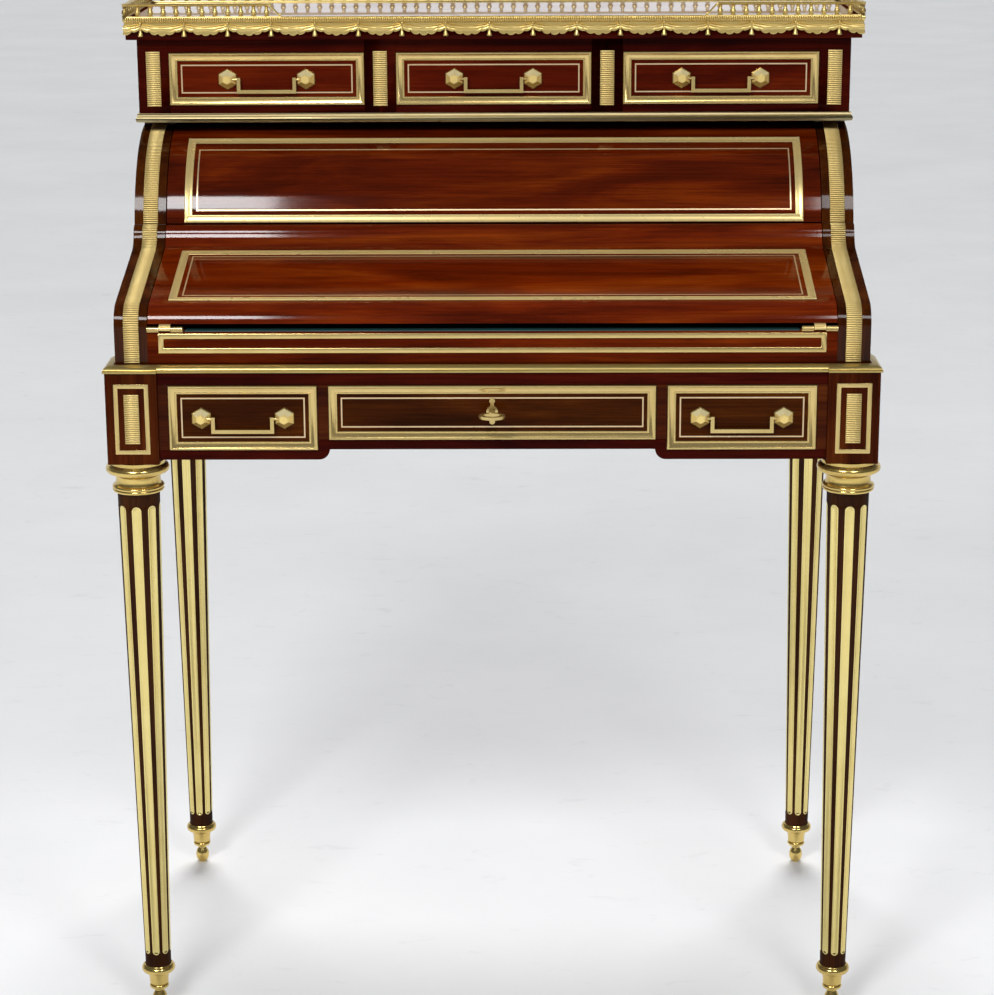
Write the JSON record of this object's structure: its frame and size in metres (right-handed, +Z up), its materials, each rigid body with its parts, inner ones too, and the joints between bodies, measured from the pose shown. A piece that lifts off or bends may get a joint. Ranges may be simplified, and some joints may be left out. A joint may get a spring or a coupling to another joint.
{
  "type": "cylinder desk",
  "caption": "Small neoclassical cylinder desk in mahogany and brass: ogee flap, cylinder fall, drawer tier with pierced gallery, fluted tapering legs.",
  "frame": {"origin": "on the floor, under the middle of the overall box from the key's tip to the back collars", "axes": "+Z up, front faces -Y, +X to the sitter's right"},
  "size_m": [0.7846, 0.4771, 1.0429],
  "materials": {
    "mahogany": "polished, red-brown",
    "brass": "polished, pale yellow",
    "green_leather": "smooth",
    "grey_marble": "polished, pale grey with veins"
  },
  "bodies": {
    "case": {"leg_front_left": "mahogany", "leg_front_right": "mahogany", "leg_back_left": "mahogany", "leg_back_right": "mahogany", "leg_flutings": "brass", "leg_collars": "brass", "leg_feet": "brass", "corner_blocks": "mahogany", "apron_sides": "mahogany", "drawer_guides": "mahogany", "apron_back": "mahogany", "apron_top_rail": "mahogany", "apron_bottom_rail": "mahogany", "desk_board": "mahogany", "frieze_moulding": "brass", "front_rail": "mahogany", "front_rail_bead": "brass", "writing_bed": "mahogany", "bed_leather": "green_leather", "cheek_left": "mahogany", "cheek_right": "mahogany", "cheek_strips": "brass", "hinge_plates": "brass", "tier_floor": "mahogany", "tier_front_frame": "mahogany", "tier_partitions": "mahogany", "back_panel": "mahogany", "tier_moulding": "brass", "cornice": "mahogany", "marble_top": "grey_marble", "drapery_mount": "brass", "gallery": "brass", "block_frames": "brass", "ribbed_plaques": "brass"},
    "cylinder_fall": {"cylinder_panel": "mahogany", "cylinder_arms": "mahogany", "cylinder_frame": "brass"},
    "flap": {"flap_board": "mahogany", "flap_brass": "brass", "flap_leather": "green_leather"},
    "frieze_drawer_left": {"frieze_drawer_left": "mahogany", "frieze_drawer_left_brass": "brass"},
    "frieze_drawer_left_handle": {"frieze_drawer_left_bail": "brass"},
    "frieze_drawer_right": {"frieze_drawer_right": "mahogany", "frieze_drawer_right_brass": "brass"},
    "frieze_drawer_right_handle": {"frieze_drawer_right_bail": "brass"},
    "tier_drawer_left": {"tier_drawer_left": "mahogany", "tier_drawer_left_brass": "brass"},
    "tier_drawer_left_handle": {"tier_drawer_left_bail": "brass"},
    "tier_drawer_centre": {"tier_drawer_centre": "mahogany", "tier_drawer_centre_brass": "brass"},
    "tier_drawer_centre_handle": {"tier_drawer_centre_bail": "brass"},
    "tier_drawer_right": {"tier_drawer_right": "mahogany", "tier_drawer_right_brass": "brass"},
    "tier_drawer_right_handle": {"tier_drawer_right_bail": "brass"},
    "frieze_drawer_centre": {"frieze_drawer_centre": "mahogany", "frieze_drawer_centre_brass": "brass", "lock_case": "brass"},
    "key": {"key": "brass"},
    "lock_bolt": {"lock_bolt": "brass"}
  },
  "joints": [
    {"name": "cylinder_roll", "type": "hinge", "parent": "case", "child": "cylinder_fall", "pos_m": [0, 0.0893, 0.7938], "axis": [-1, 0, 0], "range_deg": [0, 85]},
    {"name": "flap_fall", "type": "hinge", "parent": "case", "child": "flap", "pos_m": [0, -0.19635, 0.7431], "axis": [1, 0, 0], "range_deg": [0, 166.5]},
    {"name": "frieze_drawer_left_slide", "type": "slide", "parent": "case", "child": "frieze_drawer_left", "axis": [0, -1, 0], "range_m": [0, 0.26]},
    {"name": "frieze_drawer_left_bail_swing", "type": "hinge", "parent": "frieze_drawer_left", "child": "frieze_drawer_left_handle", "pos_m": [-0.249, -0.21035, 0.65425], "axis": [-1, 0, 0], "range_deg": [0, 85]},
    {"name": "frieze_drawer_right_slide", "type": "slide", "parent": "case", "child": "frieze_drawer_right", "axis": [0, -1, 0], "range_m": [0, 0.26]},
    {"name": "frieze_drawer_right_bail_swing", "type": "hinge", "parent": "frieze_drawer_right", "child": "frieze_drawer_right_handle", "pos_m": [0.249, -0.21035, 0.65425], "axis": [-1, 0, 0], "range_deg": [0, 85]},
    {"name": "tier_drawer_left_slide", "type": "slide", "parent": "case", "child": "tier_drawer_left", "axis": [0, -1, 0], "range_m": [0, 0.12]},
    {"name": "tier_drawer_left_bail_swing", "type": "hinge", "parent": "tier_drawer_left", "child": "tier_drawer_left_handle", "pos_m": [-0.24, 0.03562, 0.9632], "axis": [-1, 0, 0], "range_deg": [0, 85]},
    {"name": "tier_drawer_centre_slide", "type": "slide", "parent": "case", "child": "tier_drawer_centre", "axis": [0, -1, 0], "range_m": [0, 0.12]},
    {"name": "tier_drawer_centre_bail_swing", "type": "hinge", "parent": "tier_drawer_centre", "child": "tier_drawer_centre_handle", "pos_m": [0, 0.03562, 0.9632], "axis": [-1, 0, 0], "range_deg": [0, 85]},
    {"name": "tier_drawer_right_slide", "type": "slide", "parent": "case", "child": "tier_drawer_right", "axis": [0, -1, 0], "range_m": [0, 0.12]},
    {"name": "tier_drawer_right_bail_swing", "type": "hinge", "parent": "tier_drawer_right", "child": "tier_drawer_right_handle", "pos_m": [0.24, 0.03562, 0.9632], "axis": [-1, 0, 0], "range_deg": [0, 85]},
    {"name": "frieze_drawer_centre_slide", "type": "slide", "parent": "case", "child": "frieze_drawer_centre", "axis": [0, -1, 0], "range_m": [0, 0.26]},
    {"name": "key_turn", "type": "hinge", "parent": "frieze_drawer_centre", "child": "key", "pos_m": [0, -0.20475, 0.66075], "axis": [0, -1, 0], "range_deg": [0, 90]},
    {"name": "lock_bolt_slide", "type": "slide", "parent": "frieze_drawer_centre", "child": "lock_bolt", "axis": [0, 0, 1], "range_m": [0, 0.006]}
  ],
  "couplings": [
    {"joint": "lock_bolt_slide", "follows": "key_turn", "m_per_rad": 0.0038197}
  ]
}
